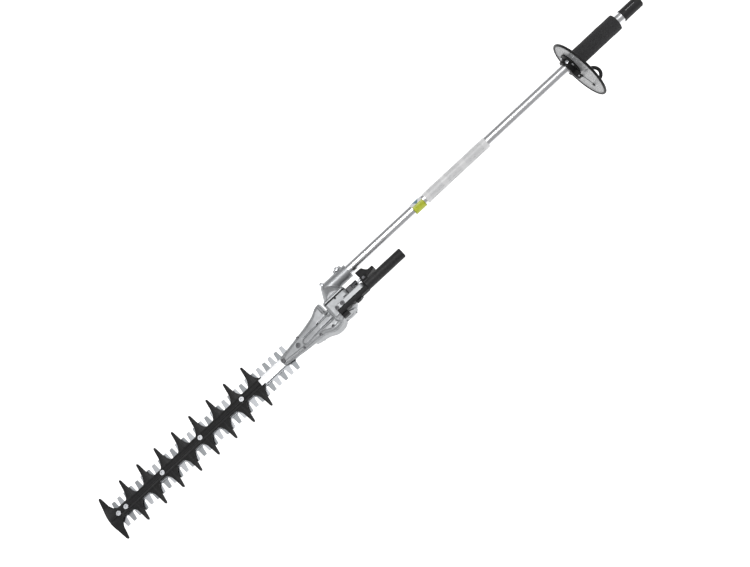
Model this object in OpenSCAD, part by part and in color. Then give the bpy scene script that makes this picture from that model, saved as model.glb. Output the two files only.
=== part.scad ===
// Articulated hedge trimmer head on a drive tube.
// Millimetres. X runs along the tool towards the cutter tip, Y towards the handle side, Z up.
// The origin is on the tube axis, at the middle of the bare spigot ring at the coupling end.

/* [Tube] */
// outside diameter of the drive tube
tube_d = 25.4; // [22:0.1:28]
// wall thickness of the drive tube
tube_wall = 1.7; // [1.2:0.1:2.5]
// diameter of the bare spigot ring that enters the power head
spigot_d = 25.0; // [22:0.1:28]
// length of the bare spigot ring
spigot_len = 16.5; // [12:0.5:30]
// distance from the fold axis to the start of the spigot ring
tube_len = 863; // [500:1:1400]

/* [Grip end] */
// diameter of the foam grip
grip_d = 40; // [32:1:50]
// length of the foam grip
grip_len = 126; // [90:1:200]
// diameter of the hand barrier disc
disc_d = 154; // [100:1:200]
// thickness of the hand barrier disc
disc_t = 3; // [2:0.5:6]
// distance from the tube axis to the centre of the disc
disc_off = 24; // [0:1:40]
// lean of the barrier disc about the vertical
disc_lean = 4.3; // [0:0.1:8]

/* [Cutter] */
// distance between teeth on one side of a blade
tooth_pitch = 35; // [25:0.5:45]
// reach of the teeth from the blade centreline
tooth_reach = 33.4; // [25:0.1:45]
// half width of the blade between the teeth
blade_root = 12.5; // [9:0.5:16]
// thickness of each blade
blade_t = 2; // [1.5:0.1:3]
// stroke of each blade
stroke = 17.5; // [10:0.5:20]
// distance between guard horns
horn_pitch = 52.5; // [40:0.5:70]
// reach of the guard horns from the blade centreline
horn_reach = 57.8; // [40:0.1:70]

/* [Gear head] */
// radius of the round gear case barrel about the fold axis
barrel_r = 30; // [25:0.5:36]
// height of the flat on top of the barrel
barrel_flat = 24; // [18:0.5:30]
// radius of the angle index plate inside the barrel
index_r = 24; // [22:0.5:26]
// angle between index notches
index_step = 15; // [10:1:30]
// distance from the fold axis to the crank axis
crank_x = 52; // [46:1:60]
// throw of each crank pin
crank_throw = 8.75; // [5:0.25:10]

/* [Handle] */
// diameter of the handle grip
handle_d = 23.5; // [20:0.5:32]
// length of the handle grip
handle_len = 105.4; // [80:0.1:140]

/* [View] */
// name of the sub-part to show, or all

/* [Hidden] */
$fn = 64;
ax = 871.25;
ay = 44;
ty = -44;
tr = tube_d / 2;
sr = spigot_d / 2;
x_sp = -tube_len - spigot_len;
hx0 = -69.6 - handle_len;
hy = 25;
hz = 36;
z_bar = -25;
z_up = -30.15;
z_lo = -32.3;
bolts = [303, 427.5, 541, 650.5, 672.5];
// x position and seat height of the bolts that hold the case to the bar
case_bolts = [[131, -16.4], [178.5, -21.6]];
all_bolts = concat([for (q = case_bolts) q[0]], bolts);

module place() { translate([ax, ay, 0]) children(); }
module cx(r, x0, x1, y = 0, z = 0) { translate([x0, y, z]) rotate([0, 90, 0]) cylinder(r = r, h = x1 - x0); }
module cy(r, y0, y1, x = 0, z = 0) { translate([x, y0, z]) rotate([-90, 0, 0]) cylinder(r = r, h = y1 - y0); }
module cz(r, z0, z1, x = 0, y = 0) { translate([x, y, z0]) cylinder(r = r, h = z1 - z0); }
module kx(ra, rb, x0, x1, y = 0, z = 0) { translate([x0, y, z]) rotate([0, 90, 0]) cylinder(r1 = ra, r2 = rb, h = x1 - x0); }
module ky(ra, rb, y0, y1, x = 0, z = 0) { translate([x, y0, z]) rotate([-90, 0, 0]) cylinder(r1 = ra, r2 = rb, h = y1 - y0); }
module bx(x0, x1, y0, y1, z0, z1) { translate([x0, y0, z0]) cube([x1 - x0, y1 - y0, z1 - z0]); }
module tube_ring(r, ri, x0, x1, y = ty, z = 0) { difference() { cx(r, x0, x1, y, z); cx(ri, x0 - 1, x1 + 1, y, z); } }
// a round-ended slot along X, cut through z0..z1
module slot_x(x0, x1, w, z0, z1, y = 0) {
  cz(w / 2, z0, z1, x0 + w / 2, y);
  cz(w / 2, z0, z1, x1 - w / 2, y);
  bx(x0 + w / 2, x1 - w / 2, y - w / 2, y + w / 2, z0, z1);
}
// a prism standing on the plan outline pts
module slab(pts, z0, z1) { translate([0, 0, z0]) linear_extrude(z1 - z0) polygon(pts); }
// cap screw standing on z, head up
module screw_z(x, y, z, r, hr, hh, len) {
  difference() { cz(hr, z, z + hh, x, y); translate([x, y, z + hh - r]) cylinder(r = r * 0.8, h = r + 1, $fn = 6); }
  cz(r, z - len, z, x, y);
}
function mirror_y(p) = [for (i = [len(p) - 1:-1:0]) [p[i][0], -p[i][1]]];
function flip(p) = [for (i = [len(p) - 1:-1:0]) p[i]];

// ---- tube and grip end ----
module drive_tube() color([0.80, 0.81, 0.82]) place() difference() {
  union() {
    cx(tr, -tube_len, -30, ty);
    cx(sr, x_sp, -tube_len, ty);
    cx(sr - 0.3, x_sp - 49.5, x_sp, ty);
  }
  cx(tr - tube_wall, x_sp - 60, -20, ty);
}

module end_cap() color([0.05, 0.05, 0.05]) place() difference() {
  union() {
    cx(13.7, x_sp - 50.2, x_sp - 0.2, ty);
    kx(11.7, 13.7, x_sp - 52.5, x_sp - 50.2, ty);
    cx(14.1, x_sp - 4, x_sp - 0.2, ty);
  }
  cx(12.3, x_sp - 50, x_sp + 1, ty);
  bx(x_sp - 38, x_sp - 12, ty - 0.8, ty + 0.8, 10, 16);
}

module foam_grip() color([0.16, 0.16, 0.17]) place() difference() {
  union() {
    cx(grip_d / 2, -tube_len + 3, -tube_len + grip_len - 3, ty);
    kx(grip_d / 2 - 3, grip_d / 2, -tube_len, -tube_len + 3, ty);
    kx(grip_d / 2, grip_d / 2 - 3, -tube_len + grip_len - 3, -tube_len + grip_len, ty);
  }
  cx(tr + 0.03, -tube_len - 1, -tube_len + grip_len + 1, ty);
}

xd = -730;
dy = ty + disc_off;
module disc_slot(g = 0) {
  cx(4 + g, xd - 9, xd + 9, ty + 38, -20);
  cx(4 + g, xd - 9, xd + 9, ty + 58, -20);
  bx(xd - 9, xd + 9, ty + 38, ty + 58, -24 - g, -16 + g);
}
// the barrier leans about the vertical line through the tube
module lean() { translate([xd, ty, 0]) rotate([0, 0, disc_lean]) translate([-xd, -ty, 0]) children(); }
module barrier_disc() color([0.55, 0.56, 0.57, 0.55]) place() lean() difference() {
  cx(disc_d / 2 - 3.5, xd - disc_t / 2, xd + disc_t / 2, dy);
  cx(16.05, xd - 5, xd + 5, ty);
  disc_slot();
  for (a = [60, 180, 300]) cx(2.05, xd - 5, xd + 5, ty + 24 * cos(a), 24 * sin(a));
  for (s = [-1, 1]) cx(2.05, xd - 5, xd + 5, ty + 48 + 17 * s, -20);
}
module barrier_rim() color([0.06, 0.06, 0.06]) place() lean() difference() {
  translate([xd, dy, 0]) rotate([0, 90, 0]) rotate_extrude($fn = 96) difference() {
    translate([disc_d / 2 - 3, 0]) circle(r = 3, $fn = 32);
    translate([disc_d / 2 - 8, -disc_t / 2 - 0.02]) square([4.54, disc_t + 0.04]);
  }
}
// split clamp half: rear = grip side with the screw boss, front = cutter side
module barrier_clamp_rear() color([0.05, 0.05, 0.05]) place() difference() {
  lean() {
    cx(20, -734.8, xd - disc_t / 2 - 0.02, ty);
    cx(15.8, xd - disc_t / 2 - 0.02, xd + disc_t / 2 + 0.02, ty);
    cx(28, xd - 4.2, xd - disc_t / 2 - 0.02, ty);
  }
  cx(tr + 0.05, -750, -700, ty);
  lean() for (a = [60, 180, 300]) cx(2.05, -745, -720, ty + 24 * cos(a), 24 * sin(a));
}
module barrier_clamp_front() color([0.07, 0.07, 0.07]) place() difference() {
  lean() {
    cx(20, xd + disc_t / 2 + 0.02, -712, ty);
    cx(28, xd + disc_t / 2 + 0.02, xd + 5, ty);
    cz(5.4, 12, 21.6, -720, ty - 1);
    bx(xd + 3, -712, ty + 15, ty + 31, -3.5, 3.5);
    translate([-718, ty + 33, -3.5]) cylinder(r = 6, h = 7);
  }
  cx(tr + 0.05, -750, -690, ty);
  lean() {
    for (a = [60, 180, 300]) cx(2.05, -745, -720, ty + 24 * cos(a), 24 * sin(a));
    translate([-718, ty + 33, -5]) cylinder(r = 2.6, h = 10);
    cz(2.05, 14.5, 30, -720, ty - 1);
  }
}
module barrier_screws() color([0.62, 0.63, 0.65]) place() lean() {
  for (a = [60, 180, 300]) {
    cx(2, -734.6, xd + 5.02, ty + 24 * cos(a), 24 * sin(a));
    difference() {
      cx(3.6, xd + 5.02, xd + 7.6, ty + 24 * cos(a), 24 * sin(a));
      translate([xd + 5.8, ty + 24 * cos(a), 24 * sin(a)]) rotate([0, 90, 0]) cylinder(r = 1.7, h = 5, $fn = 6);
    }
  }
  cz(2, 14.6, 21.62, -720, ty - 1);
  difference() { cz(3.7, 21.62, 24, -720, ty - 1); translate([-720, ty - 1, 22.4]) cylinder(r = 1.8, h = 4, $fn = 6); }
}
module strap_eye() color([0.05, 0.05, 0.05]) place() lean() {
  for (s = [-1, 1]) {
    cx(2, xd - disc_t / 2 - 0.02, xd + disc_t / 2 + 2, ty + 48 + 17 * s, -20);
    cx(3.6, xd + disc_t / 2 + 0.02, xd + disc_t / 2 + 2.4, ty + 48 + 17 * s, -20);
    cx(4, xd - 14, xd - disc_t / 2 - 0.02, ty + 48 + 17 * s, -20);
  }
  translate([xd - 14, ty + 48, -20]) rotate([0, 0, 90]) rotate_extrude(angle = 180, $fn = 64) translate([17, 0]) circle(r = 4, $fn = 32);
}
module tube_label() color([0.93, 0.93, 0.93]) place() tube_ring(tr + 0.14, tr + 0.02, -475, -293);
module safety_sticker() color([0.80, 0.86, 0.10]) place() tube_ring(tr + 0.16, tr + 0.02, -287, -256);
module shaft_bushes() color([0.85, 0.78, 0.55]) place() for (x = [-130, -330, -530, -730, -900])
  tube_ring(tr - tube_wall - 0.02, 4.06, x - 9, x + 9);

// ---- drive train ----
// V grooves round a cone whose apex is at the origin and whose axis is +Z
module grooves(n, r, h, w) {
  a = atan2(r, h);
  for (i = [0:n - 1]) rotate([0, 0, i * 360 / n]) rotate([0, a, 0]) rotate([0, 0, 45]) translate([-w / 2, -w / 2, 0.56 * sqrt(r * r + h * h)]) cube([w, w, 0.44 * sqrt(r * r + h * h) + 2]);
}
module bevel(r, h, face, n, back, bore, w) {
  difference() {
    union() {
      translate([0, 0, h * (1 - face)]) cylinder(r1 = r * (1 - face), r2 = r, h = h * face);
      translate([0, 0, h]) cylinder(r1 = r, r2 = r * 0.8, h = back);
    }
    grooves(n, r, h, w);
    translate([0, 0, -1]) cylinder(r = bore, h = h + back + 2);
  }
}
module drive_shaft() color([0.55, 0.56, 0.58]) place() difference() {
  union() {
    cx(4, -905, -30, ty);
    cx(5, -30, -20, ty);
    cx(3, -20, -10.5, ty);
    bx(-924, -904, ty - 2.6, ty + 2.6, -2.6, 2.6);
  }
}
module drive_pinion() color([0.50, 0.51, 0.53]) place() translate([-0.5, ty, 0]) rotate([0, -90, 0]) bevel(8, 16, 0.4, 14, 3, 3.01, 1.3);
module pinion_bearing() color([0.70, 0.71, 0.73]) place() tube_ring(11.03, 5.02, -28, -20.8);
module cross_gear() color([0.50, 0.51, 0.53]) place() translate([0, ty + 0.4, 0]) rotate([-90, 0, 0]) bevel(16, 8, 0.4, 28, 2.6, 5.01, 1.3);
module cross_shaft() color([0.58, 0.59, 0.61]) place() {
  cy(5, ty + 5, -12.4);
  cy(4, -12.4, -5.6);
}
module cross_bevel() color([0.50, 0.51, 0.53]) place() translate([0, -0.4, 0]) rotate([90, 0, 0]) bevel(9, 9, 0.4, 15, 2.4, 4.01, 1.3);
module cross_bearings() color([0.70, 0.71, 0.73]) place() for (y = [-32.6, -26]) difference() {
  cy(13, y, y + 6.4);
  cy(5.02, y - 1, y + 8);
}
module second_shaft() color([0.52, 0.53, 0.55]) place() {
  cx(3.5, 6.6, crank_x - 18.7);
  cx(5, 11.6, 14);
  difference() {
    translate([0.4, 0, 0]) rotate([0, 90, 0]) bevel(9, 9, 0.4, 15, 2.4, 3.4, 1.3);
  }
  translate([crank_x - 0.6, 0, 0]) rotate([0, -90, 0]) bevel(4.5, 18, 0.24, 9, 0.3, 0.5, 1.0);
}
module second_bearing() color([0.70, 0.71, 0.73]) place() tube_ring(5.78, 3.52, 14.2, 21.8, 0);
module crank_gear() color([0.50, 0.51, 0.53]) place() translate([crank_x, 0, 0]) difference() {
  union() {
    cz(18, -10, -4.95);
    translate([0, 0, -4.95]) cylinder(r1 = 18, r2 = 13.7, h = 1.1);
  }
  for (i = [0:35]) rotate([0, 0, i * 10]) translate([13.2, 0, -3.7]) rotate([0, 14, 0]) rotate([45, 0, 0]) translate([0, -0.55, -0.55]) cube([7, 1.1, 1.1]);
  cz(6.01, -12, -3);
  for (a = [45:90:315]) cz(2.2, -12, -3, 9.9 * cos(a), 9.9 * sin(a));
}
module crank_disc() color([0.60, 0.61, 0.63]) place() translate([crank_x, 0, 0]) {
  cz(6, -20.4, -4);
  cz(14, -24, -20.4);
  for (s = [-1, 1]) cz(4, -27.8, -24, crank_throw * s);
}
module crank_bearing() color([0.70, 0.71, 0.73]) place() difference() {
  cz(13, -18.4, -11.4, crank_x);
  cz(6.02, -20, -10, crank_x);
}

// ---- upper case ----
// outline of the barrel and its flanges across the fold axis: round below, flat on top
flange_pts = [[30, 0], [30, 12], [29.3, 18.5], [27.5, 22.3], [24, barrel_flat], [-24, barrel_flat], [-27.5, 22.3], [-29.3, 18.5], [-30, 12], [-30, 0]];
module flange(y0, y1, d = 0) {
  translate([0, y1, 0]) rotate([90, 0, 0]) linear_extrude(y1 - y0) {
    intersection() {
      circle(r = barrel_r - d, $fn = 72);
      translate([-40, -40]) square([80, 40 + barrel_flat - d]);
    }
    polygon([for (q = flange_pts) [q[0] - d * sign(q[0]), max(0, q[1] - d)]]);
  }
}
module flat_top() { bx(-60, 60, -70, 70, barrel_flat, 60); }
module upper_gear_case() color([0.70, 0.71, 0.72]) place() difference() {
  union() {
    flange(-18, -13);
    flange(-20, -18, 1.4);
    difference() {
      ky(15.2, 27.4, -46, -19.9);
      flat_top();
    }
    cx(16.3, -62.5, -2, ty);
    translate([-2, ty, 0]) sphere(r = 16.3, $fn = 96);
    cy(21.9, -14, -10.1);
    // clamp ears on the outer side of the tube collar
    bx(-54, -34, ty - 21, ty - 8, -7, 7);
    cz(6, -7, 7, -44, ty - 17);
    // bolt boss on the elbow
    cz(4.6, -6, 6, 3, ty - 15.4);
  }
  // split of the tube collar
  bx(-64, -31, ty - 30, ty, -1, 1);
  cx(tr + 0.04, -64, -29.5, ty);
  cx(11.05, -29.6, -20.2, ty);
  cx(9, -21, 0, ty);
  // gear space and bearing seats about the fold axis
  ky(7, 18.2, ty - 1, -35.6);
  cy(18.2, -35.7, -33);
  cy(13.02, -33.1, -9);
  // bolt holes and flats under their heads
  cz(4.4, 7, 20, -44, ty - 18.4);
  cz(4.4, 6, 20, 3, ty - 15.4);
  cz(2.6, -10, 10, -44, ty - 18.4);
  cz(2.6, -10, 10, 3, ty - 15.4);
  for (a = [45:90:315]) cy(1.7, -17, -9, 17.3 * cos(a), 17.3 * sin(a));
}
module case_clamp_bolts() color([0.45, 0.46, 0.48]) place() for (q = [[-44, ty - 18.4, 7.02], [3, ty - 15.4, 6.02]]) {
  cz(2.5, -q[2] - 1.5, q[2], q[0], q[1]);
  difference() {
    cz(4.1, q[2], q[2] + 4.4, q[0], q[1]);
    translate([q[0], q[1], q[2] + 2.2]) cylinder(r = 2.1, h = 4, $fn = 6);
  }
}
module index_plate() color([0.30, 0.31, 0.32]) place() difference() {
  cy(index_r, -10.08, -6.95);
  cy(12, -14, -5);
  for (i = [-3:6]) rotate([0, i * index_step, 0]) bx(-40, -20.4, -14, -5, -1.65, 1.65);
  for (a = [45:90:315]) cy(1.7, -14, -5, 17.3 * cos(a), 17.3 * sin(a));
}
module index_plate_screws() color([0.35, 0.36, 0.38]) place() for (a = [45:90:315]) cy(1.65, -16.6, -7.0, 17.3 * cos(a), 17.3 * sin(a));

// ---- lower case ----
// black seal and retaining ring at the seam of the fold joint
module pivot_ring() color([0.06, 0.06, 0.06]) place() difference() {
  flange(-12.9, -10.52, 0.5);
  cy(21.97, -14, -10);
  for (a = [30, 150, 210, 270, 330]) cy(1.7, -14, -10, 26 * cos(a), 26 * sin(a));
}
module pivot_ring_screws() color([0.35, 0.36, 0.38]) place() for (a = [30, 150, 210, 270, 330]) cy(1.65, -12.8, -8.2, 26 * cos(a), 26 * sin(a));
side_w = [[13, 28.5], [19, 33], [26, 36.6], [34, 38], [44, 38], [52, 35.8], [58, 32.6], [64, 29.2], [70, 27], [79, 25], [101, 21.5], [123, 19.5], [145, 16.5], [167, 13.5], [178, 12], [183, 9]];
left_w = [[183, 9], [178, 12], [167, 13.5], [145, 16.5], [123, 19.5], [101, 21.5], [79, 25], [70, 27], [64, 29.2], [58, 32.6], [52, 35.8], [44, 38], [37, 38], [35, 36.4]];
// plan outline of the crank housing and nose, drawn in by d
function case_plan(d) = concat([[-8, 27 - d], [4, 28 - d]], [for (q = side_w) [q[0] - (q[0] > 180 ? d / 2 : 0), max(1, q[1] - d)]], [for (q = left_w) [q[0] - (q[0] > 180 ? d / 2 : 0) + max(0, 45 - q[0]) * d / 10, -max(1, q[1] - d)]], [[35 + d, -10.5], [-8, -10.5]]);
// side outline: the top falls from the barrel to the guide bar
module case_side(d) {
  translate([0, 60, 0]) rotate([90, 0, 0]) linear_extrude(120)
    polygon(concat([[-20, -37], [99, -37], [99, z_bar + 0.02], [200, z_bar + 0.02]], [for (q = [[200, -21.5], [183, -19.2], [160, -15.6], [130, -11.2], [105, -7], [84, -3], [68, -0.6], [52, 0.6], [10, 1], [-20, 1]]) [q[0], max(z_bar + 1.5, q[1] - d)]]));
}
module case_outer() {
  flange(-10.5, 25);
  flange(24.9, 28, 1.6);
  difference() {
    union() { ky(barrel_r - 3, 24, 28, 31.5); ky(24, 21, 31.5, 34); }
    translate([0, 0, -1.6]) flat_top();
  }
  for (q = [[0, 10.5], [1.8, 5.5], [4.5, 2], [9, 0]]) intersection() {
    slab(flip(case_plan(q[0])), -38, 6);
    case_side(q[1]);
  }
  // spine rib along the top, round at its far end
  intersection() {
    union() { bx(10, 112, 1.5, 13, -16, 8); cz(5.75, -16, 8, 112, 7.25); }
    translate([0, 60, 0]) rotate([90, 0, 0]) linear_extrude(120) polygon([[0, -20], [130, -20], [130, -8.4], [118, -6.2], [105, -4], [84, 0], [68, 2.4], [52, 3.6], [30, 5.5], [0, 8]]);
  }
  cx(9, 0, 33);
  translate([33, 0, 0]) sphere(r = 9, $fn = 40);
}
module lower_gear_case() color([0.70, 0.71, 0.72]) place() difference() {
  case_outer();
  // grooves on both sides of the rib
  for (y = [-1.5, 14.6]) difference() {
    union() { bx(33, 113, y - 1.5, y + 1.5, -10, 20); cz(1.5, -10, 20, 113, y); }
    translate([0, 60, 0]) rotate([90, 0, 0]) linear_extrude(120) polygon([[0, -20], [130, -20], [130, -13.4], [118, -11.2], [105, -9], [84, -4.6], [73, -2.3], [52, -1.5], [0, -1.4]]);
  }
  // clear of the upper case flange as it turns
  difference() { cy(37.8, -60, -12.95); }
  bx(-60, 34.9, -60, -10.48, -60, 60);
  // index plate space and bevel space
  cy(index_r + 0.04, -11, -6.85);
  cy(14.2, -7, 10);
  cx(5.8, 8, 22);
  cx(5.4, 21, crank_x - 13.4);
  // crank gear space, crank bearing seat, crank disc space and yoke chamber
  cz(18.8, -10.8, -2.8, crank_x);
  cz(13.02, -20.5, -10.5, crank_x);
  cz(15, -25.5, -20, crank_x);
  bx(34.4, 100, -17.7, 17.7, -38, z_bar + 0.02);
  // side cover opening
  cy(16.05, 31.5, 40);
  cy(13, 20, 33);
  // lock pin hole through the rear wall
  cx(1.6, -40, -20, -8.5);
  // bolt holes
  for (q = case_bolts) { cz(3.1, -60, 20, q[0]); cz(5.1, q[1], 20, q[0]); }
  for (q = cover_points) cz(1.7, -38, -29, q[0], q[1]);
  for (a = [45:90:315]) cy(1.55, 24, 40, 18.6 * cos(a), 18.6 * sin(a));
  for (a = [30, 150, 210, 270, 330]) cy(1.7, -11, -8, 26 * cos(a), 26 * sin(a));
  for (q = plug_points) { cz(1.55, q[2] - 5, 20, q[0], q[1]); cz(2.7, q[2] - 1, 20, q[0], q[1]); }
  for (x = [-6, 10]) cz(2.6, 12, 30, x, 18);
}
cover_points = [[26, 24], [52, 30], [52, -30], [38, 32.5], [80, 21], [80, -21], [41, -32.5]];
plug_points = [[121, -14.5, -12], [123.5, 15, -12.5], [77, 20.5, -6], [44, 27, -4]];
cover_plan = [[18, 31], [26, 35.6], [34, 37], [44, 37], [52, 34.8], [58, 31.6], [64, 28.2], [70, 26], [79, 24], [94, 21.5], [94, -21.5], [79, -24], [70, -26], [64, -28.2], [58, -31.6], [52, -34.8], [44, -37], [37, -37], [35.6, -35.6], [35.6, -9.4], [18, -9.4]];
module bottom_cover() color([0.66, 0.67, 0.68]) place() difference() {
  slab(flip(cover_plan), -41.5, -37.7);
  for (p = cover_points) cz(1.9, -50, -30, p[0], p[1]);
}
module cover_gasket() color([0.15, 0.15, 0.15]) place() difference() {
  slab(flip(cover_plan), -37.7, -37);
  bx(34.4, 99, -17.7, 17.7, -38, -36);
  for (p = cover_points) cz(1.9, -50, -30, p[0], p[1]);
}
module cover_screws() color([0.50, 0.51, 0.53]) place() for (p = cover_points) {
  cz(1.6, -41.5, -31, p[0], p[1]);
  difference() {
    cz(3.2, -44.2, -41.52, p[0], p[1]);
    translate([p[0], p[1], -45]) cylinder(r = 1.5, h = 2.4, $fn = 6);
  }
}
module pivot_side_cover() color([0.64, 0.65, 0.66]) place() difference() {
  union() { cy(16, 31.6, 34.1); cy(20.6, 34.02, 36.6); }
  for (a = [45:90:315]) cy(1.7, 30, 40, 18.6 * cos(a), 18.6 * sin(a));
  cy(9, 35.8, 38);
}
module side_cover_screws() color([0.45, 0.46, 0.48]) place() for (a = [45:90:315]) {
  cy(1.5, 26, 36.62, 18.6 * cos(a), 18.6 * sin(a));
  cy(2, 36.62, 38.4, 18.6 * cos(a), 18.6 * sin(a));
}
module grease_plugs() color([0.25, 0.25, 0.26]) place() for (q = plug_points) difference() {
  union() { cz(1.5, q[2] - 4.6, q[2] - 0.9, q[0], q[1]); cz(2.6, q[2] - 0.98, q[2] + 1, q[0], q[1]); }
  translate([q[0], q[1], q[2]]) cylinder(r = 1.3, h = 3, $fn = 6);
}

// ---- cutter ----
module tooth(x, s) polygon(s < 0 ? tooth_pts(x, s) : flip(tooth_pts(x, s)));
function tooth_pts(x, s) = [[x - 8.6, s * (blade_root - 1)], [x - 8.6, s * blade_root], [x - 6.2, s * (blade_root + 3)], [x - 4.2, s * (tooth_reach - 1.4)], [x - 3.2, s * tooth_reach], [x + 3.2, s * tooth_reach], [x + 4.2, s * (tooth_reach - 1.4)], [x + 6.2, s * (blade_root + 3)], [x + 8.6, s * blade_root], [x + 8.6, s * (blade_root - 1)]];
module blade_plan(x0, x1, a, na, b, nb) {
  translate([x0, -blade_root]) square([x1 - x0 - blade_root, 2 * blade_root]);
  translate([x1 - blade_root, 0]) circle(r = blade_root);
  for (i = [0:na - 1]) tooth(a + i * tooth_pitch, -1);
  for (i = [0:nb - 1]) tooth(b + i * tooth_pitch, 1);
}
module slot2d(x0, x1, w) { translate([x0 + w / 2, 0]) circle(r = w / 2, $fn = 32); translate([x1 - w / 2, 0]) circle(r = w / 2, $fn = 32); translate([x0 + w / 2, -w / 2]) square([x1 - x0 - w, w]); }
module upper_blade() color([0.78, 0.79, 0.81]) place() translate([0, 0, z_up - blade_t]) linear_extrude(blade_t) difference() {
  blade_plan(67, 704, 165, 16, 182.5, 15);
  for (x = all_bolts) slot2d(x - 5.2, x + stroke + 5.2, 10);
  for (s = [-1, 1]) translate([73, 6 * s]) circle(r = 2, $fn = 24);
}
module lower_blade() color([0.74, 0.75, 0.77]) place() translate([0, 0, z_lo - blade_t]) linear_extrude(blade_t) difference() {
  blade_plan(53.5, 686.5, 182.5, 15, 165, 15);
  for (x = all_bolts) slot2d(x - stroke - 5.2, x + 5.2, 10);
  for (s = [-1, 1]) translate([60, 6 * s]) circle(r = 2, $fn = 24);
}
// yoke plate with a cross slot for its crank pin and two rivets into the blade tail
module yoke(xs, x1, xr, z0, z1, zr) {
  difference() {
    union() {
      bx(xs - 8.1, xs + 8.1, -16.6, 16.6, z0, z1);
      bx(xs, x1, -9, 9, z0, z1);
    }
    cz(4.05, z0 - 1, z1 + 1, xs, crank_throw);
    cz(4.05, z0 - 1, z1 + 1, xs, -crank_throw);
    bx(xs - 4.05, xs + 4.05, -crank_throw, crank_throw, z0 - 1, z1 + 1);
  }
  for (s = [-1, 1]) cz(1.97, min(z0, zr), max(z1, zr), xr, 6 * s);
}
module upper_yoke() color([0.55, 0.56, 0.58]) place() yoke(crank_x + crank_throw, 79, 73, z_up, z_up + 2.05, z_up - blade_t);
module lower_yoke() color([0.55, 0.56, 0.58]) place() yoke(crank_x - crank_throw, 67, 60, z_lo - blade_t - 1.9, z_lo - blade_t, z_lo);
module guide_bar() color([0.86, 0.87, 0.88]) place() difference() {
  union() { bx(80.5, 689, -9.8, 9.8, -30, z_bar); cz(9.8, -30, z_bar, 689, 0); }
  for (x = all_bolts) cz(3.1, -40, -20, x);
}
horn = [[-21, 8.4], [-15, 11.6], [-10.5, 18], [-7.5, 25], [-5.5, 36], [-4.25, 45], [-2.75, 55.4], [-1.2, horn_reach], [1.2, horn_reach], [2.75, 55.4], [4.25, 45], [5.5, 36], [7.5, 25], [10.5, 18], [15, 11.6], [21, 8.4]];
tip_horn = [[634, 8], [642, blade_root], [668, blade_root], [676, 18.5], [682, 30], [684.5, 45], [686.5, 55.4], [688, horn_reach], [690.4, horn_reach], [692.4, 55.4], [694.4, 45], [697, 32], [699.5, 21], [701.2, 10], [701.6, 0]];
module horn_at(x) { translate([x, 0]) polygon(flip(horn)); translate([x, 0]) polygon(flip(mirror_y(horn))); }
module blade_guard() color([0.05, 0.05, 0.05]) place() difference() {
  union() {
    translate([0, 0, z_bar]) linear_extrude(3.5) {
      translate([250, -10]) square([420, 20]);
      for (i = [0:7]) horn_at(260.8 + i * horn_pitch);
      polygon(flip(concat([[634, -8]], tip_horn, mirror_y(tip_horn))));
    }
    bx(252, 696, -3, 3, -21.6, -19.8);
    for (s = [-1, 1]) bx(252, 664, s * 8.3 - 1.1, s * 8.3 + 1.1, -21.6, -20.3);
    for (i = [0:7]) for (s = [-1, 1]) bx(260.8 + i * horn_pitch - 1.5, 260.8 + i * horn_pitch + 1.5, s > 0 ? 10 : -50, s > 0 ? 50 : -10, -21.6, -20.3);
  }
  for (x = bolts) { cz(3.1, -40, -10, x); cz(6.6, -21.5, -10, x); }
}
module nose_plate() color([0.80, 0.81, 0.83]) place() difference() {
  union() {
    translate([0, 0, -37.2]) linear_extrude(1.6) { translate([662, -10]) square([30, 20]); translate([687, 0]) intersection() { circle(r = 19); translate([-9, -19]) square([32, 38]); } }
  }
  cz(3.1, -40, -30, bolts[4]);
}
module blade_bolts() color([0.75, 0.76, 0.78]) place() {
  for (x = bolts) {
    cz(3, -40, -21.48, x);
    difference() {
      cz(5.6, -21.48, -17.4, x);
      translate([x, 0, -19.4]) cylinder(r = 2.8, h = 4, $fn = 6);
    }
  }
}
module case_bar_bolts() color([0.20, 0.20, 0.21]) place() for (q = case_bolts) {
  cz(3, -40, q[1] + 0.02, q[0]);
  difference() {
    cz(4.9, q[1] + 0.02, q[1] + 3.4, q[0]);
    translate([q[0], 0, q[1] + 1.4]) cylinder(r = 2.4, h = 4, $fn = 6);
  }
}
module blade_washers() color([0.66, 0.67, 0.69]) place() for (x = all_bolts) difference() {
  union() { cz(4.8, -34.45, -30.02, x); cz(x > 650 ? 6.5 : 7.8, -35.55, -34.45, x); }
  cz(3.05, -40, -20, x);
}
module blade_nuts() color([0.60, 0.61, 0.63]) place() for (x = all_bolts) difference() {
  translate([x, 0, x > 665 ? -41.4 : -40.6]) cylinder(r = 5.5, h = x > 665 ? 4.18 : 5.03, $fn = 6);
  cz(3.02, -45, -30, x);
}

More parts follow.
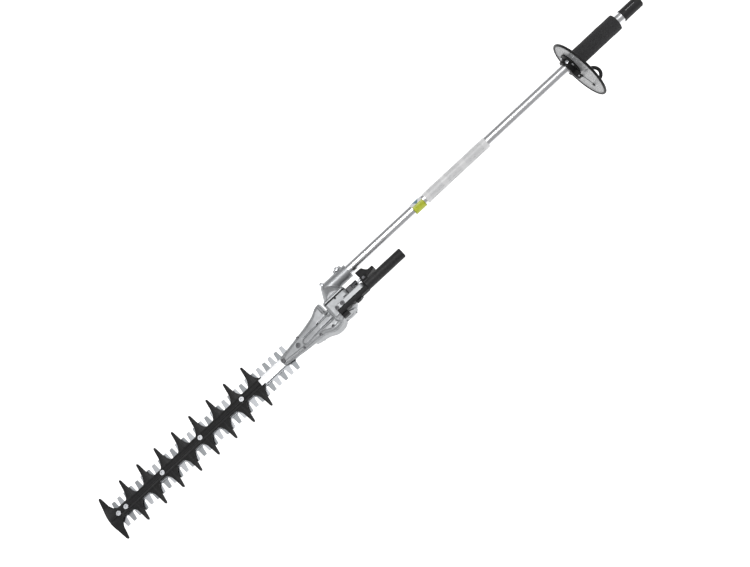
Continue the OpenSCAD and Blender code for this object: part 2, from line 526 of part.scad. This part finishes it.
// ---- handle ----
module handle_bracket() color([0.72, 0.73, 0.74]) place() difference() {
  union() {
    difference() {
      bx(-58.8, 13, 12, 24.4, 24.05, 41);
      // rounded underside behind the barrel
      bx(-70, -19, 10, 26, 20, 27);
    }
    cy(8.5, 12, 24.4, -58.8, 32.5);
    // web that blends the arm into the barrel top
    bx(-22, 13, 9, 12.5, 24.05, 30);
  }
  for (x = [-6, 10]) { cz(2.7, 20, 60, x, 18); cz(4.7, 35, 60, x, 18); }
  cy(2.6, 0, 30, -44, 34);
  cy(2.6, 0, 30, -20, 36);
}
module handle_base() color([0.06, 0.06, 0.06]) place() difference() {
  union() {
    bx(-69.4, 13, 24.5, 36.4, 28, 45);
    cx(9.6, -69.4, 13, 26.6, 36);
    bx(-4, 13, 24.5, 44.5, 24.05, 36);
    bx(-45, -30, 30, 40.5, 29, 38);
    // ear over the release lever
    bx(-84, -67.35, 2.2, 13, 34.6, 38.4);
    cz(5.5, 34.6, 38.4, -76, 7.4);
    bx(-69.6, -67.35, 12.5, 36, 28, 44);
  }
  bx(-67.35, 20, 10, 24.5, 0, 60);
  difference() { bx(-90, -69.6, -10, 60, 0, 60); bx(-90, -69.6, -10, 12.9, 34.6, 38.4); }
  cx(5.05, -72, -59.6, hy, hz);
  bx(-90, 20, -10, 60, 0, 24.05);
  cz(2.05, 30, 42, -76, 7.4);
  cy(2.6, 24, 50, -44, 34);
  cy(2.6, 24, 50, -20, 36);
  cy(4.6, 36.5, 50, -44, 34);
  cy(4.6, 34.5, 50, -20, 36);
}
module handle_core() color([0.55, 0.56, 0.58]) place() difference() {
  cx(5, hx0 + 6, -60, hy, hz);
  bx(-69.6, -30, 10, 24.5, 20, 50);
}
module handle_grip() color([0.05, 0.05, 0.05]) place() difference() {
  union() {
    cx(handle_d / 2, hx0 + 2, -69.6, hy, hz);
    kx(handle_d / 2 - 2, handle_d / 2, hx0, hx0 + 2, hy, hz);
  }
  cx(5.02, hx0 + 5.5, -60, hy, hz);
}
module handle_bolts() color([0.20, 0.20, 0.21]) place() {
  for (x = [-6, 10]) {
    cz(2.5, 13, 35.02, x, 18);
    difference() { cz(4.5, 35.02, 38.6, x, 18); translate([x, 18, 36.4]) cylinder(r = 2.3, h = 4, $fn = 6); }
  }
  for (q = [[-44, 34, 36.52], [-20, 36, 34.52]]) {
    cy(2.5, 12, q[2], q[0], q[1]);
    cy(4.4, q[2], q[2] + 3, q[0], q[1]);
    translate([q[0], 8.2, q[1]]) rotate([-90, 0, 0]) cylinder(r = 4.4, h = 3.78, $fn = 6);
  }
}
lever_plan = [[-107, 4.6], [-108, 3], [-107.6, -1.2], [-106, -2.2], [-95, -2.6], [-91.5, -5.4], [-89.5, -8.6], [-86.5, -13.6], [-84.5, -15.2], [-69, -16], [-68.4, -12], [-70, -2], [-70.6, 7.4], [-72, 12], [-80, 12], [-86, 8.6]];
module release_lever() color([0.07, 0.07, 0.07]) place() difference() {
  union() {
    slab(lever_plan, 14, 34.2);
    bx(-80, -69.2, -15.8, -8, -6, 14.5);
    cz(5, 14, 34.2, -76, 7.4);
  }
  cz(2.06, 10, 40, -76, 7.4);
  slab([[-84, 4], [-84, -11], [-78, -11], [-78, 1]], 18, 30);
}
module lever_pin() color([0.62, 0.63, 0.65]) place() {
  cz(2, 12.4, 38.42, -76, 7.4);
  cz(3.4, 38.42, 40, -76, 7.4);
  cz(3.2, 11.2, 12.4, -76, 7.4);
}
module coil_rings(x0, n, p, R, r, y, z) { for (i = [0:n - 1]) translate([x0 + i * p, y, z]) rotate([0, 90, 0]) rotate_extrude($fn = 48) translate([R, 0]) circle(r = r, $fn = 16); }
module lever_spring() color([0.70, 0.71, 0.72]) place() for (i = [0:1]) translate([-76, 7.4, 9.8 - i * 1.7]) rotate_extrude($fn = 48) translate([3.4, 0]) circle(r = 0.8, $fn = 16);
module lock_pin() color([0.66, 0.67, 0.69]) place() {
  cx(1.55, -32, -20.8, -8.5);
  cx(2.5, -64.5, -31, -8.5);
  cx(4, -45, -42.5, -8.5);
  cx(4.4, -67.6, -64.5, -8.5);
}
module lock_spring() color([0.70, 0.71, 0.72]) place() coil_rings(-57.6, 4, 1.9, 3.5, 0.6, -8.5, 0);
module lock_housing() color([0.36, 0.37, 0.38]) place() difference() {
  union() {
    cx(7.6, -59.5, -38.2, -8.5);
    bx(-59.5, -30.05, -8.5, 6, -7.6, 7.6);
    bx(-44, -30.05, -10.4, 6, -7.6, 18);
    bx(-59.5, -50, -1, 11.9, -7.6, 30);
    bx(-59.5, -50, 3, 11.9, 24, 33);
    bx(-59.5, -44, -3, 6, -7.6, 20);
  }
  cx(2.53, -70, -30, -8.5);
  cx(4.6, -58.4, -36.8, -8.5);
  cz(2.4, 10, 40, -54.8, 4.5);
}

drive_tube();
end_cap();
foam_grip();
barrier_disc();
barrier_rim();
barrier_clamp_rear();
barrier_clamp_front();
barrier_screws();
strap_eye();
tube_label();
safety_sticker();
shaft_bushes();
drive_shaft();
drive_pinion();
pinion_bearing();
upper_gear_case();
case_clamp_bolts();
index_plate();
index_plate_screws();
cross_shaft();
cross_gear();
cross_bevel();
cross_bearings();
pivot_ring();
pivot_ring_screws();
lower_gear_case();
pivot_side_cover();
side_cover_screws();
bottom_cover();
cover_gasket();
cover_screws();
second_shaft();
second_bearing();
crank_gear();
crank_disc();
crank_bearing();
upper_yoke();
lower_yoke();
upper_blade();
lower_blade();
guide_bar();
blade_guard();
nose_plate();
blade_bolts();
case_bar_bolts();
blade_washers();
blade_nuts();
grease_plugs();
handle_bracket();
handle_base();
handle_core();
handle_grip();
handle_bolts();
release_lever();
lever_pin();
lever_spring();
lock_pin();
lock_spring();
lock_housing();
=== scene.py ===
import bpy, bmesh, math
from mathutils import Vector, Matrix


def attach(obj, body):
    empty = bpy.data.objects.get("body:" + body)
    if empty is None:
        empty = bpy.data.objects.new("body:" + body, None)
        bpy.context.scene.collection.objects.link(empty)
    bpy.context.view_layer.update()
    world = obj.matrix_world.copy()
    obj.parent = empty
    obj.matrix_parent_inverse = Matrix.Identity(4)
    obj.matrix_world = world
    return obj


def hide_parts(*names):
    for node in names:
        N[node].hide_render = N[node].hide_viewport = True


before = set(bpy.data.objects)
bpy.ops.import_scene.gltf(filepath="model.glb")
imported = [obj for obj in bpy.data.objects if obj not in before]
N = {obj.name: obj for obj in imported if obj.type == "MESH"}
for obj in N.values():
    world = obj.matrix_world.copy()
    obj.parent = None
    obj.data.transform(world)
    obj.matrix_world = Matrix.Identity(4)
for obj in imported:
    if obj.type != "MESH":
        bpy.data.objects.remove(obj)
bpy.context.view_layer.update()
AX, AY = 0.87125, 0.044


def P(x, y, z):
    """Millimetres about the fold axis to the row frame in metres."""
    return Vector((x / 1000 + AX, y / 1000 + AY, z / 1000))


# ------------------------------------------------------------------ camera
scene = bpy.context.scene
cam_data = bpy.data.cameras.new("camera")
cam_data.sensor_fit = "HORIZONTAL"
cam_data.sensor_width = 36.0
cam_data.lens = 1317.14 / 750 * 36.0
cam_data.clip_start = 0.05
cam_data.clip_end = 60.0
cam = bpy.data.objects.new("camera", cam_data)
scene.collection.objects.link(cam)
RIGHT = Vector((-0.7328545, 0.6340236, -0.2468571))
UP = Vector((-0.6803476, -0.6867062, 0.2560505))
BACK = Vector((-0.0071763, 0.3555963, 0.9346121))
pos = P(-106.066, 1041.600, 2681.854)
cam.matrix_world = Matrix((
    (RIGHT.x, UP.x, BACK.x, pos.x),
    (RIGHT.y, UP.y, BACK.y, pos.y),
    (RIGHT.z, UP.z, BACK.z, pos.z),
    (0, 0, 0, 1)))
scene.camera = cam
scene.view_settings.view_transform = "Standard"
scene.view_settings.look = "None"


# ------------------------------------------------------------------ materials
class Mat:
    """A principled material with helpers for layered procedural detail in object space."""

    def __init__(self, name, base, rough, metal=0.0, spec=0.5):
        self.m = bpy.data.materials.new(name)
        self.m.use_nodes = True
        self.t = self.m.node_tree
        self.n = self.t.nodes
        self.b = self.n["Principled BSDF"]
        self.b.inputs["Base Color"].default_value = (*base, 1)
        self.b.inputs["Roughness"].default_value = rough
        self.b.inputs["Metallic"].default_value = metal
        self.b.inputs["Specular IOR Level"].default_value = spec
        self.base, self.rough = base, rough
        self.co = self.n.new("ShaderNodeTexCoord")
        self.height = None

    def link(self, a, b):
        self.t.links.new(a, b)

    def coords(self, scale=(1, 1, 1), loc=(0, 0, 0), rot=(0, 0, 0)):
        mp = self.n.new("ShaderNodeMapping")
        mp.inputs["Scale"].default_value = scale
        mp.inputs["Location"].default_value = loc
        mp.inputs["Rotation"].default_value = rot
        self.link(self.co.outputs["Object"], mp.inputs["Vector"])
        return mp.outputs["Vector"]

    def noise(self, scale, detail=4, rough=0.55, stretch=(1, 1, 1), dist=0.0):
        t = self.n.new("ShaderNodeTexNoise")
        t.inputs["Scale"].default_value = scale
        t.inputs["Detail"].default_value = detail
        t.inputs["Roughness"].default_value = rough
        t.inputs["Distortion"].default_value = dist
        self.link(self.coords(stretch), t.inputs["Vector"])
        return t.outputs["Fac"]

    def voronoi(self, scale, feature="F1", stretch=(1, 1, 1)):
        t = self.n.new("ShaderNodeTexVoronoi")
        t.feature = feature
        t.inputs["Scale"].default_value = scale
        self.link(self.coords(stretch), t.inputs["Vector"])
        return t.outputs["Distance"]

    def ramp(self, fac, stops):
        r = self.n.new("ShaderNodeValToRGB")
        e = r.color_ramp.elements
        while len(e) < len(stops):
            e.new(0.5)
        for el, (p, c) in zip(e, stops):
            el.position = p
            el.color = (*c, 1) if isinstance(c, tuple) else (c, c, c, 1)
        self.link(fac, r.inputs["Fac"])
        return r.outputs["Color"]

    def mix(self, fac, a, b, mode="MIX"):
        x = self.n.new("ShaderNodeMix")
        x.data_type = "RGBA"
        x.blend_type = mode
        for v, i in ((fac, 0), (a, 6), (b, 7)):
            if isinstance(v, (int, float)):
                x.inputs[i].default_value = v if i == 0 else (v, v, v, 1)
            elif isinstance(v, tuple):
                x.inputs[i].default_value = (*v, 1)
            else:
                self.link(v, x.inputs[i])
        return x.outputs[2]

    def math(self, op, a, b=0.0, clamp=False):
        x = self.n.new("ShaderNodeMath")
        x.operation = op
        x.use_clamp = clamp
        for v, i in ((a, 0), (b, 1)):
            if isinstance(v, (int, float)):
                x.inputs[i].default_value = v
            else:
                self.link(v, x.inputs[i])
        return x.outputs[0]

    def vary(self, fac, lo, hi):
        """Base colour runs from base*lo to base*hi over the factor."""
        a = tuple(min(1, c * lo) for c in self.base)
        b = tuple(min(1, c * hi) for c in self.base)
        self.colour(self.ramp(fac, [(0.3, a), (0.7, b)]))
        return self

    def colour(self, out):
        self.link(out, self.b.inputs["Base Color"])
        self.colour_out = out

    def roughness(self, fac, lo, hi):
        r = self.n.new("ShaderNodeMapRange")
        r.inputs["From Min"].default_value = 0.3
        r.inputs["From Max"].default_value = 0.7
        r.inputs["To Min"].default_value = lo
        r.inputs["To Max"].default_value = hi
        self.link(fac, r.inputs["Value"])
        self.link(r.outputs["Result"], self.b.inputs["Roughness"])
        return self

    def bump(self, fac, strength, dist):
        b = self.n.new("ShaderNodeBump")
        b.inputs["Strength"].default_value = strength
        b.inputs["Distance"].default_value = dist
        self.link(fac, b.inputs["Height"])
        if self.height is not None:
            self.link(self.height, b.inputs["Normal"])
        self.height = b.outputs["Normal"]
        self.link(self.height, self.b.inputs["Normal"])
        return self

    def wear(self, amount, lo=0.53, hi=0.62):
        """Lighter, rubbed edges from the mesh's own convexity."""
        g = self.n.new("ShaderNodeNewGeometry")
        w = self.n.new("ShaderNodeMapRange")
        w.inputs["From Min"].default_value = lo
        w.inputs["From Max"].default_value = hi
        self.link(g.outputs["Pointiness"], w.inputs["Value"])
        f = self.math("MULTIPLY", w.outputs["Result"], self.noise(260, 3), True)
        light = tuple(min(1, c * (1 + amount) + 0.05 * amount) for c in self.base)
        self.colour(self.mix(f, self.colour_out, light))
        return self


def cast(name, base, rough=0.42):
    m = Mat(name, base, rough, 0.75, 0.5)
    m.vary(m.noise(34, 5), 0.93, 1.05)
    m.wear(0.25)
    m.roughness(m.noise(120, 4), rough - 0.06, rough + 0.08)
    m.bump(m.noise(1500, 3, 0.6), 0.10, 0.0003)
    m.bump(m.noise(220, 3), 0.08, 0.0006)
    return m.m


def plastic(name, base, rough=0.5, grain=0.16):
    m = Mat(name, base, rough, 0.0, 0.22)
    m.vary(m.noise(45, 4), 0.85, 1.2)
    m.wear(0.9)
    m.roughness(m.noise(160, 4), rough - 0.07, rough + 0.09)
    m.bump(m.voronoi(1700), grain, 0.0002)
    m.bump(m.noise(380, 3), grain * 0.5, 0.0003)
    return m.m


def steel(name, base, rough=0.26, lines=(1, 40, 1), scale=60):
    m = Mat(name, base, rough, 1.0, 0.5)
    f = m.noise(scale, 6, 0.65, lines)
    m.vary(f, 0.90, 1.06)
    m.roughness(f, rough - 0.06, rough + 0.10)
    m.bump(f, 0.06, 0.0002)
    return m.m


def machined(name, base, rough=0.3):
    m = Mat(name, base, rough, 1.0, 0.5)
    f = m.noise(500, 4, 0.6)
    m.vary(m.noise(90, 4), 0.88, 1.06)
    m.roughness(f, rough - 0.05, rough + 0.1)
    m.bump(f, 0.05, 0.0002)
    return m.m


M_CASE = cast("cast_silver", (0.42, 0.43, 0.44), 0.46)
M_CASE2 = cast("cast_silver_light", (0.46, 0.47, 0.48), 0.42)
M_DARKCASE = cast("cast_dark", (0.10, 0.10, 0.105), 0.45)
M_BLACK = plastic("black_plastic", (0.0085, 0.0085, 0.009), 0.48)
M_GUARD = plastic("guard_plastic", (0.0065, 0.0065, 0.007), 0.50)
M_CAP = plastic("cap_plastic", (0.028, 0.028, 0.029), 0.50)
M_BLADE = steel("blade_ground", (0.34, 0.35, 0.365), 0.34, (40, 1, 1), 70)
M_BLADE2 = steel("blade_ground_dark", (0.22, 0.23, 0.24), 0.36, (40, 1, 1), 70)
M_BAR = steel("bar_bright", (0.70, 0.71, 0.72), 0.26, (1, 40, 1), 70)
M_GEAR = machined("gear_steel", (0.42, 0.43, 0.45))
M_BEARING = machined("bearing_steel", (0.70, 0.71, 0.73), 0.18)
M_BOLT = machined("bolt_zinc", (0.52, 0.53, 0.55), 0.28)
M_BOLTD = machined("bolt_dark", (0.10, 0.10, 0.105), 0.34)
M_BRONZE = machined("bush_bronze", (0.72, 0.52, 0.26), 0.35)
M_SPRING = machined("spring_steel", (0.62, 0.63, 0.66), 0.22)

mt = Mat("tube_polished", (0.88, 0.885, 0.90), 0.26, 1.0)
f = mt.noise(30, 6, 0.6, (1, 60, 60))
mt.vary(f, 0.95, 1.04)
mt.roughness(f, 0.22, 0.32)
mt.bump(f, 0.02, 0.0001)
M_TUBE = mt.m

mf = Mat("foam_black", (0.034, 0.034, 0.035), 0.85, 0.0, 0.22)
mf.vary(mf.noise(500, 4), 0.7, 1.7)
mf.bump(mf.voronoi(900, "F1"), 0.7, 0.0005)
mf.bump(mf.noise(1600, 4), 0.5, 0.0003)
mf.b.inputs["Sheen Weight"].default_value = 0.06
mf.b.inputs["Sheen Roughness"].default_value = 0.5
M_FOAM = mf.m

md = Mat("disc_smoke", (0.30, 0.305, 0.31), 0.22, 0.0, 0.5)
md.vary(md.noise(22, 3), 0.94, 1.06)
md.roughness(md.noise(60, 4), 0.18, 0.34)
md.bump(md.noise(300, 3), 0.03, 0.0002)
md.b.inputs["Alpha"].default_value = 0.78
M_DISC = md.m

mg = Mat("gasket", (0.02, 0.02, 0.02), 0.8)
mg.vary(mg.noise(300, 3), 0.8, 1.3)
mg.bump(mg.noise(900, 3), 0.2, 0.0002)
M_GASKET = mg.m

# label film: white, with rows of plain grey blocks that stand for small print
ml = Mat("label_film", (0.86, 0.86, 0.86), 0.34)
br = ml.n.new("ShaderNodeTexBrick")
br.inputs["Scale"].default_value = 1.0
br.inputs["Brick Width"].default_value = 0.0062
br.inputs["Row Height"].default_value = 0.0028
br.inputs["Mortar Size"].default_value = 0.0009
br.inputs["Mortar Smooth"].default_value = 0.1
br.inputs["Color1"].default_value = (0.36, 0.37, 0.38, 1)
br.inputs["Color2"].default_value = (0.66, 0.66, 0.67, 1)
br.inputs["Mortar"].default_value = (0.78, 0.78, 0.78, 1)
br.offset = 0.37
ml.link(ml.co.outputs["Object"], br.inputs["Vector"])
sep = ml.n.new("ShaderNodeSeparateXYZ")
ml.link(ml.co.outputs["Object"], sep.inputs[0])


def band(m, s, lo, hi):
    return m.math("MULTIPLY", m.math("GREATER_THAN", s, lo), m.math("LESS_THAN", s, hi))


x = sep.outputs["X"]
x0, x1 = P(-475, 0, 0).x, P(-293, 0, 0).x
mask = m1 = ml.math("ADD", band(ml, x, x0 + 0.012, x0 + 0.064), ml.math("ADD", band(ml, x, x0 + 0.078, x0 + 0.118), band(ml, x, x1 - 0.050, x1 - 0.012)), True)
z = sep.outputs["Z"]
mask = ml.math("MULTIPLY", mask, ml.math("GREATER_THAN", z, 0.0015))
ml.colour(ml.mix(mask, (0.80, 0.80, 0.80), br.outputs["Color"]))
ml.roughness(ml.noise(80, 3), 0.28, 0.4)
ml.bump(ml.noise(500, 2), 0.03, 0.0001)
M_LABEL = ml.m

ms = Mat("sticker_film", (0.52, 0.58, 0.04), 0.36)
sp = ms.n.new("ShaderNodeSeparateXYZ")
ms.link(ms.co.outputs["Object"], sp.inputs[0])
sx0 = P(-287, 0, 0).x
sX, sY = sp.outputs["X"], sp.outputs["Y"]
yellow = ms.ramp(ms.noise(160, 3), [(0.3, (0.44, 0.50, 0.03)), (0.7, (0.62, 0.68, 0.06))])
edge = ms.math("MULTIPLY", ms.math("GREATER_THAN", ms.math("ABSOLUTE", ms.math("SUBTRACT", sX, sx0 + 0.0155)), 0.0132), 0.55)
yellow = ms.mix(edge, yellow, (0.22, 0.25, 0.03))
tri = ms.math("LESS_THAN", ms.math("ADD", ms.math("ABSOLUTE", ms.math("SUBTRACT", sX, sx0 + 0.0155)), ms.math("MULTIPLY", ms.math("ADD", sY, 0.0085), 0.9)), 0.0078)
left = ms.mix(tri, (0.78, 0.79, 0.80), (0.16, 0.27, 0.34))
ms.colour(ms.mix(ms.math("GREATER_THAN", sY, -0.0008), left, yellow))
ms.bump(ms.noise(500, 2), 0.03, 0.0001)
M_STICK = ms.m

ASSIGN = {
    "drive_tube": M_TUBE, "end_cap": M_CAP, "foam_grip": M_FOAM, "barrier_disc": M_DISC,
    "barrier_rim": M_BLACK, "barrier_clamp_rear": M_BLACK, "barrier_clamp_front": M_BLACK,
    "barrier_screws": M_BOLT, "strap_eye": M_BLACK, "tube_label": M_LABEL, "safety_sticker": M_STICK,
    "shaft_bushes": M_BRONZE, "drive_shaft": M_GEAR, "drive_pinion": M_GEAR, "pinion_bearing": M_BEARING,
    "upper_gear_case": M_CASE, "case_clamp_bolts": M_BOLT, "pivot_ring_screws": M_BOLTD,
    "case_bar_bolts": M_BOLTD,
    "index_plate": M_BLACK, "index_plate_screws": M_BOLT, "cross_shaft": M_GEAR, "cross_gear": M_GEAR,
    "cross_bevel": M_GEAR, "cross_bearings": M_BEARING, "pivot_ring": M_BLACK, "lower_gear_case": M_CASE,
    "pivot_side_cover": M_CASE, "side_cover_screws": M_BOLT, "bottom_cover": M_CASE,
    "cover_gasket": M_GASKET, "cover_screws": M_BOLT, "second_shaft": M_GEAR, "second_bearing": M_BEARING,
    "crank_gear": M_GEAR, "crank_disc": M_GEAR, "crank_bearing": M_BEARING, "upper_yoke": M_GEAR,
    "lower_yoke": M_GEAR, "upper_blade": M_BLADE, "lower_blade": M_BLADE2, "guide_bar": M_BAR,
    "blade_guard": M_GUARD, "nose_plate": M_BAR, "blade_bolts": M_BOLT, "blade_washers": M_BEARING,
    "blade_nuts": M_BOLT, "grease_plugs": M_BOLTD, "handle_bracket": M_CASE2, "handle_base": M_BLACK,
    "handle_core": M_GEAR, "handle_grip": M_BLACK, "handle_bolts": M_BOLTD, "release_lever": M_BLACK,
    "lever_pin": M_BOLTD, "lever_spring": M_SPRING, "lock_pin": M_BOLT, "lock_spring": M_SPRING,
    "lock_housing": M_DARKCASE,
}
for name, o in N.items():
    o.data.materials.clear()
    o.data.materials.append(ASSIGN[name])
    if name in ASSIGN and o.data.polygons:
        o.data.polygons.foreach_set("material_index", [0] * len(o.data.polygons))

# softened edges: castings are remeshed and smoothed, the pieces listed in BEVEL take a small bevel
CAST = {"lower_gear_case": (0.0010, 6), "upper_gear_case": (0.0009, 5), "handle_bracket": (0.0007, 5),
        "handle_base": (0.0007, 6), "release_lever": (0.0007, 6), "lock_housing": (0.0007, 5),
        "barrier_clamp_rear": (0.0006, 5), "barrier_clamp_front": (0.0006, 5)}
BEVEL = {"case_bar_bolts": 0.3, "bottom_cover": 0.7, "pivot_side_cover": 0.8, "blade_guard": 0.45, "upper_blade": 0.3, "lower_blade": 0.3,
         "guide_bar": 0.4, "nose_plate": 0.4, "blade_bolts": 0.5, "blade_nuts": 0.4, "case_clamp_bolts": 0.4,
         "barrier_screws": 0.25, "handle_bolts": 0.4, "side_cover_screws": 0.25, "grease_plugs": 0.3,
         "lever_pin": 0.3, "lock_pin": 0.4, "index_plate": 0.25, "blade_washers": 0.25, "cover_screws": 0.25,
         "barrier_disc": 0.3, "crank_disc": 0.4, "upper_yoke": 0.3, "lower_yoke": 0.3, "pivot_ring": 0.4,
         "drive_tube": 0.15, "end_cap": 0.5, "handle_core": 0.4}


def weld(o):
    w = o.modifiers.new("weld", "WELD")
    w.merge_threshold = 0.000002
    return w


for name, o in N.items():
    weld(o)
    if name in CAST:
        size, it = CAST[name]
        r = o.modifiers.new("remesh", "REMESH")
        r.mode = "VOXEL"
        r.voxel_size = size * 1.0
        r.use_smooth_shade = True
        s = o.modifiers.new("smooth", "SMOOTH")
        s.factor = 0.5
        s.iterations = it
        continue
    if name in BEVEL:
        b = o.modifiers.new("bevel", "BEVEL")
        b.limit_method = "ANGLE"
        b.angle_limit = math.radians(38)
        b.width = BEVEL[name] / 1000
        b.segments = 2
        b.use_clamp_overlap = True
        b.harden_normals = False
    g = o.modifiers.new("edges", "EDGE_SPLIT")
    g.split_angle = math.radians(40)
    if name in BEVEL:
        wn = o.modifiers.new("flat_normals", "WEIGHTED_NORMAL")
        wn.mode = "FACE_AREA"
        wn.weight = 100
        wn.keep_sharp = True
    o.data.polygons.foreach_set("use_smooth", [True] * len(o.data.polygons))


# ------------------------------------------------------------------ modelled pieces
def new_piece(name, bm, mat, body):
    me = bpy.data.meshes.new(name)
    bm.to_mesh(me)
    bm.free()
    me.materials.append(mat)
    me.polygons.foreach_set("use_smooth", [True] * len(me.polygons))
    ob = bpy.data.objects.new(name, me)
    scene.collection.objects.link(ob)
    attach(ob, body)
    return ob


def lathe_x(profile, y, z, seg=96, wobble=None):
    """A closed profile of (x, r) in millimetres turned about the X direction through y, z."""
    bm = bmesh.new()
    rings = []
    for i in range(seg):
        a = 2 * math.pi * i / seg
        ring = []
        for (px, pr) in profile:
            r = pr + (wobble(px, a) if wobble else 0)
            ring.append(bm.verts.new(P(px, y + r * math.cos(a), z + r * math.sin(a))))
        rings.append(ring)
    n = len(profile)
    for i in range(seg):
        for j in range(n):
            a, b = rings[i], rings[(i + 1) % seg]
            bm.faces.new((a[j], b[j], b[(j + 1) % n], a[(j + 1) % n]))
    bmesh.ops.recalc_face_normals(bm, faces=bm.faces)
    return bm


# foam grip: rounded ends, a faint moulded unevenness along its length
def foam_wobble(px, a):
    return 0.12 * math.sin(px * 0.19 + 1.7 * math.sin(a)) + 0.10 * math.sin(3 * a + px * 0.07) if px > -862 and px < -738 else 0.0


prof = [(-863, 12.9), (-863, 17.4)]
for k in range(1, 9):
    a = math.pi / 2 * k / 8
    prof.append((-863 + 2.6 * (1 - math.cos(a)), 17.2 + 2.6 * math.sin(a)))
for k in range(1, 60):
    prof.append((-860.4 + (120.8) * k / 60, 19.8))
for k in range(0, 9):
    a = math.pi / 2 * k / 8
    prof.append((-739.6 + 2.6 * math.sin(a), 17.2 + 2.6 * math.cos(a)))
prof.append((-737, 12.9))
for k in range(1, 12):
    prof.append((-737 - 126 * k / 12, 12.8))
grip = new_piece("foam_grip_skin", lathe_x(prof, -44, 0, 128), M_FOAM, "shaft")
for v in grip.data.vertices:
    xl = (v.co.x - AX) * 1000
    yy, zz = v.co.y - (AY - 0.044), v.co.z
    r = math.hypot(yy, zz)
    if r > 0.016:
        a = math.atan2(zz, yy)
        k = 1 + foam_wobble(xl, a) / 1000 / r
        v.co.y = (AY - 0.044) + yy * k
        v.co.z = zz * k
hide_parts("foam_grip")

# ------------------------------------------------------------------ floor and light
bm = bmesh.new()
zf = -1.25
for c in ((-30, -30), (30, -30), (30, 30), (-30, 30)):
    bm.verts.new((c[0], c[1], zf))
bm.faces.new(bm.verts)
me = bpy.data.meshes.new("floor")
bm.to_mesh(me)
bm.free()
mfl = Mat("floor_pale", (0.93, 0.93, 0.93), 0.9, 0.0, 0.1)
mfl.vary(mfl.noise(0.6, 2), 0.995, 1.0)
mfl.b.inputs["Emission Color"].default_value = (1, 1, 1, 1)
mfl.b.inputs["Emission Strength"].default_value = 0.62
me.materials.append(mfl.m)
floor = bpy.data.objects.new("floor", me)
scene.collection.objects.link(floor)

w = bpy.data.worlds.new("studio")
w.use_nodes = True
wt = w.node_tree
bg = wt.nodes["Background"]
tc = wt.nodes.new("ShaderNodeTexCoord")
sx = wt.nodes.new("ShaderNodeSeparateXYZ")
wt.links.new(tc.outputs["Generated"], sx.inputs[0])
rp = wt.nodes.new("ShaderNodeValToRGB")
mr = wt.nodes.new("ShaderNodeMapRange")
mr.inputs["From Min"].default_value = -1.0
mr.inputs["From Max"].default_value = 1.0
wt.links.new(sx.outputs["Y"], mr.inputs["Value"])
wt.links.new(mr.outputs["Result"], rp.inputs["Fac"])
e = rp.color_ramp.elements
e[0].position, e[0].color = 0.0, (0.34, 0.34, 0.345, 1)
e[1].position, e[1].color = 1.0, (0.44, 0.44, 0.445, 1)
for p_, c_ in ((0.12, 0.30), (0.26, 0.40), (0.36, 0.56), (0.45, 0.95), (0.54, 0.66), (0.66, 0.44), (0.84, 0.42)):
    k = e.new(p_)
    k.color = (c_, c_, c_ * 1.01, 1)
wt.links.new(rp.outputs["Color"], bg.inputs["Color"])
bg.inputs["Strength"].default_value = 0.85
scene.world = w

sd = bpy.data.lights.new("sun", "SUN")
sd.energy = 1.15
sd.angle = math.radians(16)
so = bpy.data.objects.new("sun", sd)
scene.collection.objects.link(so)
so.rotation_euler = Vector((0.05, -0.09, 1.0)).to_track_quat("Z", "Y").to_euler()
